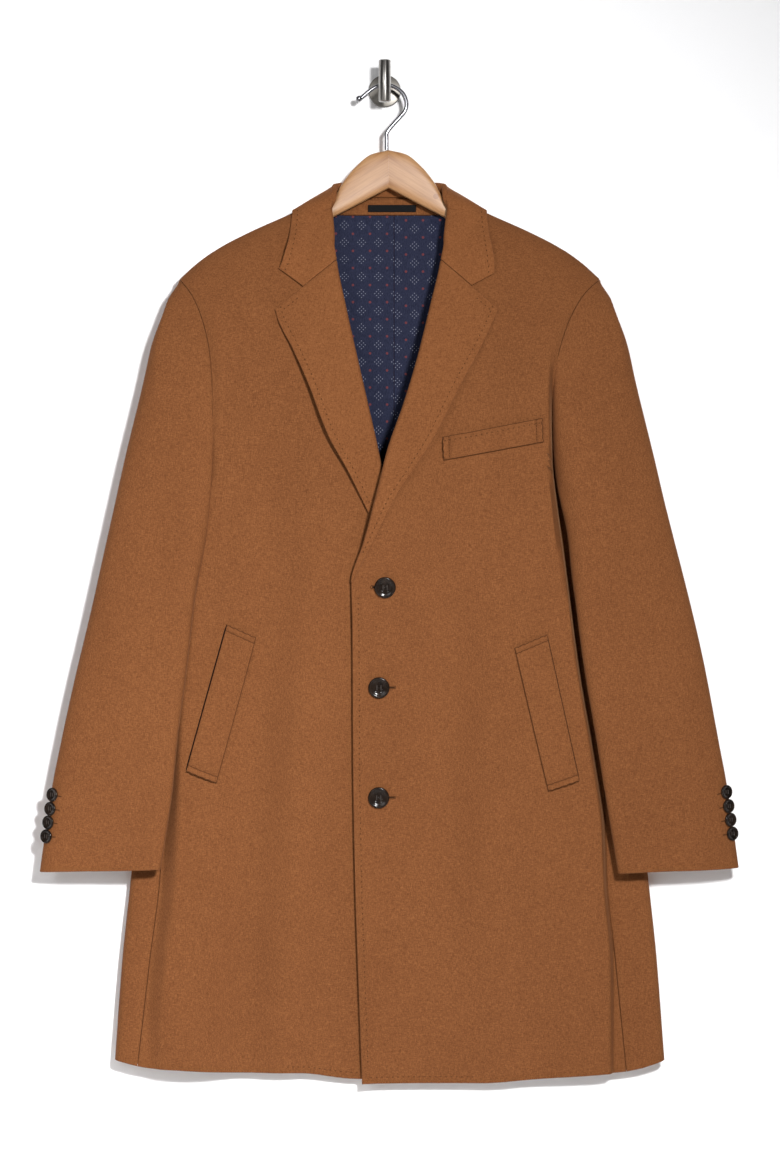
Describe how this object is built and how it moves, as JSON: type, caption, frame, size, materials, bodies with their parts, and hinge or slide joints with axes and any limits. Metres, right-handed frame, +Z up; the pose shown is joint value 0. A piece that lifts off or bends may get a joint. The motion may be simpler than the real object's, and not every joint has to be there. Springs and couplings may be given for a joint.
{
  "type": "topcoat on a hanger",
  "caption": "Single-breasted notch-lapel wool topcoat hanging open at neck, hem and cuffs on a wooden hanger, hooked over a peg on a wall plate.",
  "frame": {"origin": "middle of the wall plate's back face, on the wall", "axes": "+Y into the wall, out of the plate's back face; +Z up; +X to the right as the coat is looked at"},
  "size_m": [0.7567, 0.0782, 1.1097],
  "materials": {
    "wool": "short napped camel wool",
    "lining": "navy satin with a small dotted repeat",
    "loop": "black woven tape",
    "horn": "polished dark horn",
    "wood": "satin varnish",
    "wire": "bright",
    "steel": "brushed"
  },
  "bodies": {
    "root": {"front_left": "wool", "front_right": "wool", "back_left": "wool", "back_right": "wool", "sleeve_top_left": "wool", "sleeve_top_right": "wool", "sleeve_under_left": "wool", "sleeve_under_right": "wool", "lapel_left": "wool", "lapel_right": "wool", "collar": "wool", "neck_facing": "wool", "chest_welt": "wool", "pocket_welt_left": "wool", "pocket_welt_right": "wool", "lining_left": "lining", "lining_right": "lining", "hang_loop": "loop", "front_button_1": "horn", "front_button_2": "horn", "front_button_3": "horn", "cuff_button_left_1": "horn", "cuff_button_left_2": "horn", "cuff_button_left_3": "horn", "cuff_button_left_4": "horn", "cuff_button_right_1": "horn", "cuff_button_right_2": "horn", "cuff_button_right_3": "horn", "cuff_button_right_4": "horn", "hanger_left": "wood", "hanger_right": "wood", "hanger_hook": "wire", "wall_plate": "steel", "wall_post": "steel", "wall_peg": "steel"}
  },
  "joints": []
}
